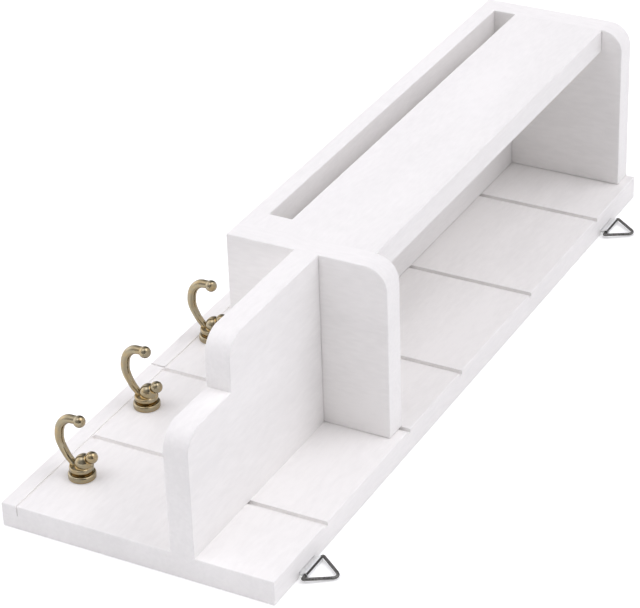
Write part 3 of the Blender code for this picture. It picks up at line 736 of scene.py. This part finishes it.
# Occlusion darkens the brass: patina in the hollows, and painted shade where the brass meets the board.
patina_and_shade = add_node(tree, "AmbientOcclusion", {"samples": PATINA_AND_SHADE_SAMPLES}, {"Distance": PATINA_AND_SHADE_REACH})
uneven = add_node(tree, "MapRange", {}, {"Value": blotch.outputs["Fac"], "From Min": NOISE_LOW,
                                         "From Max": NOISE_HIGH, "To Min": BLOTCH_DARKER,
                                         "To Max": BLOTCH_PALER})
tone = add_node(tree, "Math", {"operation": "ADD"}, {0: patina_and_shade.outputs["AO"], 1: uneven.outputs["Result"]})
tint = ramp(tree, tone.outputs["Value"], (PATINA_AND_SHADE_TONE, BRASS_PATINA_AND_SHADE), (BODY_TONE, BRASS_BODY),
            (PROUD_TONE, BRASS_PROUD))
gloss = add_node(tree, "MapRange", {}, {"Value": blotch.outputs["Fac"], "From Min": NOISE_LOW,
                                        "From Max": NOISE_HIGH, "To Min": BRASS_DULL,
                                        "To Max": BRASS_SMOOTH})
relief = add_node(tree, "Bump", {}, {"Height": pits.outputs["Fac"], "Distance": BRASS_PIT_RELIEF})
tree.links.new(tint, shader.inputs["Base Color"])
tree.links.new(gloss.outputs["Result"], shader.inputs["Roughness"])
tree.links.new(relief.outputs["Normal"], shader.inputs["Normal"])
shader.inputs["Metallic"].default_value = 1.0

for number in range(1, HOOK_COUNT + 1):
    low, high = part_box(f"hook_rosette_{number}")
    foot = ((low.x + high.x) / 2, (low.y + high.y) / 2, board_high.z)
    for pattern, name, node in ((rosette, "turned_flange", "hook_rosette"), (hook, "cast_hook", "hook_body"),
                                (knob, "turned_knob", "hook_knob")):
        copy = copied(pattern, f"{name}_{number}", foot)
        put_on(copy, "holder", "antique_brass", brass, f"{node}_{number}")
    frame["nodes"][f"hook_stud_{number}"].material_slots[0].material = dark_steel
for pattern in (rosette, hook, knob):
    bpy.data.objects.remove(pattern)


# Hangers: a strip of plated steel sheet, folded double round the straight side of a triangle of steel wire
# and let into the back of the board with one screw. The ring swings in the fold.
STRAP_SHEET = 0.00056
STRAP_LAYER = 0.0003
LOOP_RADIUS = 0.00128
LOOP_START = 160
LOOP_STEPS = 20
FLARE_REACH = 0.0023
STRAP_CORNER = 0.003
STRAP_CORNER_STEPS = 6
STRAP_HEAD_RADIUS = 0.0026
STRAP_HEAD_EDGE = 0.0004
STRAP_HEAD_LOW = 0.00015
STRAP_HEAD_HIGH = 0.0010
STRAP_CROSS_DEPTH = 0.00055
STRAP_SCREW_RADIUS = 0.0013
STRAP_SCREW_TOP = 0.01005
STRAP_SCREW_POINT = 0.002
RING_HALF_WIDTH = 0.0095
RING_REACH = 0.01365
RING_BASE_ROUND = 0.0012
RING_APEX_ROUND = 0.0039
RING_ROUND_STEPS = 12
RING_WIRE_RADIUS = 0.00072
WIRE_STEPS = 8
RING_DROOP = math.radians(3.82)

# Bright zinc plate on thin steel sheet. The eye gets a pale, soft silver with a faint cloudy spangle.
# Along the crest of the fold a thin line is drawn in dark steel grey.
ZINC_CLOUDED = "#EEEFEF"
ZINC_BRIGHT = "#FAFAFA"
ZINC_SMOOTH = 0.50
ZINC_DULL = 0.65
CREST_LINE_GREY = "#545351"
CREST_TURN = math.radians(50)
CREST_LINE_DEPTH = 0.00006
CREST_LINE_FADE = 0.00006

zinc_plate = drawn_steel("bright_zinc_plate", ZINC_CLOUDED, ZINC_BRIGHT, ZINC_SMOOTH, ZINC_DULL)
tree = zinc_plate.node_tree
shader = tree.nodes["Principled BSDF"]
ring_bar = Vector(frame["joints"][0]["pos_m"])
spot = add_node(tree, "TexCoord", {}, {}).outputs["Object"]
crest = Vector((math.cos(CREST_TURN), 0.0, math.sin(CREST_TURN)))
rise = add_node(tree, "VectorMath", {"operation": "DOT_PRODUCT"}, {0: spot, 1: crest}).outputs["Value"]
# The thin dark grey line along the crest of the fold: where it starts and how softly it fades in.
crest_line_from = ring_bar.dot(crest) + LOOP_RADIUS + STRAP_SHEET / 2 - CREST_LINE_DEPTH
marked = add_node(tree, "MapRange", {}, {"Value": rise, "From Min": crest_line_from - CREST_LINE_FADE,
                                       "From Max": crest_line_from}).outputs["Result"]
plate = shader.inputs["Base Color"].links[0].from_socket
mixed = add_node(tree, "MixRGB", {}, {"Fac": marked, "Color1": plate, "Color2": linear(CREST_LINE_GREY)})
tree.links.new(mixed.outputs["Color"], shader.inputs["Base Color"])

for number, joint in enumerate(frame["joints"], start=1):
    bar = Vector(joint["pos_m"])
    low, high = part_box(f"hanger_strap_{number}")
    reach = bar.x - low.x
    fold = [(-reach, 0.0, -STRAP_LAYER), (-FLARE_REACH, 0.0, -STRAP_LAYER)]
    for step in range(LOOP_STEPS + 1):
        turn = math.radians(LOOP_START * (2 * step / LOOP_STEPS - 1))
        fold.append((LOOP_RADIUS * math.cos(turn), 0.0, LOOP_RADIUS * math.sin(turn)))
    fold += [(-FLARE_REACH, 0.0, STRAP_LAYER), (-reach, 0.0, STRAP_LAYER)]
    strap = drawn(f"folded_strap_{number}", fold)
    open_mesh(strap)
    bpy.ops.mesh.select_all(action="SELECT")
    bpy.ops.mesh.extrude_region_move(TRANSFORM_OT_translate={"value": (0.0, high.y - low.y, 0.0)})
    close_mesh()
    modifier = strap.modifiers.new("sheet", "SOLIDIFY")
    modifier.thickness = STRAP_SHEET
    modifier.offset = 0.0
    bpy.ops.object.modifier_apply(modifier=modifier.name)
    placed(strap, (bar.x, low.y, bar.z))
    round_edges(strap, STRAP_CORNER, STRAP_CORNER_STEPS,
                lambda first, second: both_at(first, second, UP_WALL, low.x)
                and abs(first.z - second.z) > STRAP_SHEET / 2)
    settle(strap)
    put_on(strap, "holder", "zinc_plate", zinc_plate, f"hanger_strap_{number}")

    ring = drawn(f"wire_ring_{number}", [(0.0, -RING_HALF_WIDTH, 0.0), (RING_REACH, 0.0, 0.0),
                                         (0.0, RING_HALF_WIDTH, 0.0)])
    mesh = open_mesh(ring, "VERT")
    for vert in mesh.verts:
        vert.select_set(vert.co.x < RING_REACH / 2)
    bmesh.update_edit_mesh(ring.data)
    bpy.ops.mesh.edge_face_add()
    for apex, offset in ((False, RING_BASE_ROUND), (True, RING_APEX_ROUND)):
        bpy.ops.mesh.select_all(action="DESELECT")
        mesh = bmesh.from_edit_mesh(ring.data)
        for vert in mesh.verts:
            vert.select_set(vert.co.x > RING_REACH - ON_PLANE if apex else vert.co.x < ON_PLANE)
        bmesh.update_edit_mesh(ring.data)
        bpy.ops.mesh.bevel(offset=offset, segments=RING_ROUND_STEPS, affect="VERTICES")
    close_mesh()
    bpy.ops.object.convert(target="CURVE")
    ring = bpy.context.object
    ring.data.bevel_depth = RING_WIRE_RADIUS
    ring.data.bevel_resolution = WIRE_STEPS
    bpy.ops.object.convert(target="MESH")
    ring = placed(bpy.context.object, bar, (0.0, RING_DROOP, 0.0))
    settle(ring)
    put_on(ring, joint["child"], "dark_steel", dark_steel, f"hanger_ring_{number}")

hanger_screw = turned("hanger_screw", [
    (0.0, STRAP_SCREW_TOP), (STRAP_SCREW_RADIUS, STRAP_SCREW_TOP - STRAP_SCREW_POINT),
    (STRAP_SCREW_RADIUS, STRAP_HEAD_HIGH), (STRAP_HEAD_RADIUS, STRAP_HEAD_HIGH),
    (STRAP_HEAD_RADIUS - STRAP_HEAD_EDGE, STRAP_HEAD_LOW), (0.0, STRAP_HEAD_LOW)])
cross_recess(hanger_screw, STRAP_HEAD_LOW, CROSS_LENGTH, CROSS_WIDTH, STRAP_CROSS_DEPTH)
settle(hanger_screw)
for number in HANGERS:
    node = f"hanger_screw_{number}"
    low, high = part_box(node)
    head = ((low.x + high.x) / 2, (low.y + high.y) / 2, board_low.z)
    copy = copied(hanger_screw, f"strap_screw_{number}", head)
    put_on(copy, "holder", "zinc_plate", zinc_plate, node)
bpy.data.objects.remove(hanger_screw)


# Floor and light: a white table top in a tent of white cloth, with a small soft lamp overhead and a stronger
# one high on the right. Light comes through the cloth from the left, and weakly from the near end, the far
# right and the right. Each light is given by where it stands, how narrow it is and how strong.
FLOOR_SIZE = 12.0
FLOOR_COLOUR = "#F4F4F4"
FLOOR_ROUGHNESS = 0.9
FLOOR_GLOW = 0.30
CLOTH_COLOUR = "#FBFAFF"
TENT_LIGHTS = (
    ((-0.25, -0.35, 0.9), 20.0, 2.35),
    ((0.45, 0.15, 0.88), 12.0, 3.45),
    ((-1.0, 0.0, 0.25), 3.0, 2.00),
    ((0.0, -1.0, 0.3), 4.0, 0.50),
    ((0.7, 0.65, 0.3), 4.0, 0.81),
    ((1.0, 0.1, 0.1), 6.0, 0.46),
)

bpy.ops.object.select_all(action="DESELECT")
bpy.ops.mesh.primitive_plane_add(size=FLOOR_SIZE)
floor = bpy.context.object
floor.name = "table_top"
floor_material = bpy.data.materials.new("white_table")
floor_material.use_nodes = True
tree = floor_material.node_tree
shader = tree.nodes["Principled BSDF"]
shader.inputs["Base Color"].default_value = linear(FLOOR_COLOUR)
shader.inputs["Roughness"].default_value = FLOOR_ROUGHNESS
path = add_node(tree, "LightPath", {}, {})
mirrored = add_node(tree, "Math", {"operation": "MAXIMUM"}, {0: path.outputs["Is Glossy Ray"],
                                                             1: path.outputs["Is Transmission Ray"]})
seen = add_node(tree, "Math", {"operation": "MAXIMUM"}, {0: path.outputs["Is Camera Ray"],
                                                         1: mirrored.outputs["Value"]})
level = add_node(tree, "Math", {"operation": "MULTIPLY"}, {0: seen.outputs["Value"], 1: FLOOR_GLOW})
glow = add_node(tree, "Emission", {}, {"Strength": level.outputs["Value"]})
both = add_node(tree, "AddShader", {}, {})
tree.links.new(shader.outputs["BSDF"], both.inputs[0])
tree.links.new(glow.outputs["Emission"], both.inputs[1])
tree.links.new(both.outputs["Shader"], tree.nodes["Material Output"].inputs["Surface"])
floor.data.materials.append(floor_material)
floor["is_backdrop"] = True

world = bpy.data.worlds.new("light_tent")
bpy.context.scene.world = world
world.use_nodes = True
tree = world.node_tree
heading = add_node(tree, "TexCoord", {}, {}).outputs["Generated"]
total = 0.0
for aim, focus, strength in TENT_LIGHTS:
    facing = add_node(tree, "VectorMath", {"operation": "DOT_PRODUCT"},
                      {0: heading, 1: Vector(aim).normalized()}).outputs["Value"]
    ahead = add_node(tree, "Math", {"operation": "MAXIMUM"}, {0: facing, 1: 0.0}).outputs["Value"]
    share = add_node(tree, "Math", {"operation": "POWER"}, {0: ahead, 1: focus}).outputs["Value"]
    total = add_node(tree, "Math", {"operation": "MULTIPLY_ADD"},
                     {0: share, 1: strength, 2: total}).outputs["Value"]
tree.links.new(total, tree.nodes["Background"].inputs["Strength"])
tree.nodes["Background"].inputs["Color"].default_value = linear(CLOTH_COLOUR)


# The box of every shown piece, the table top left out.
low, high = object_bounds()
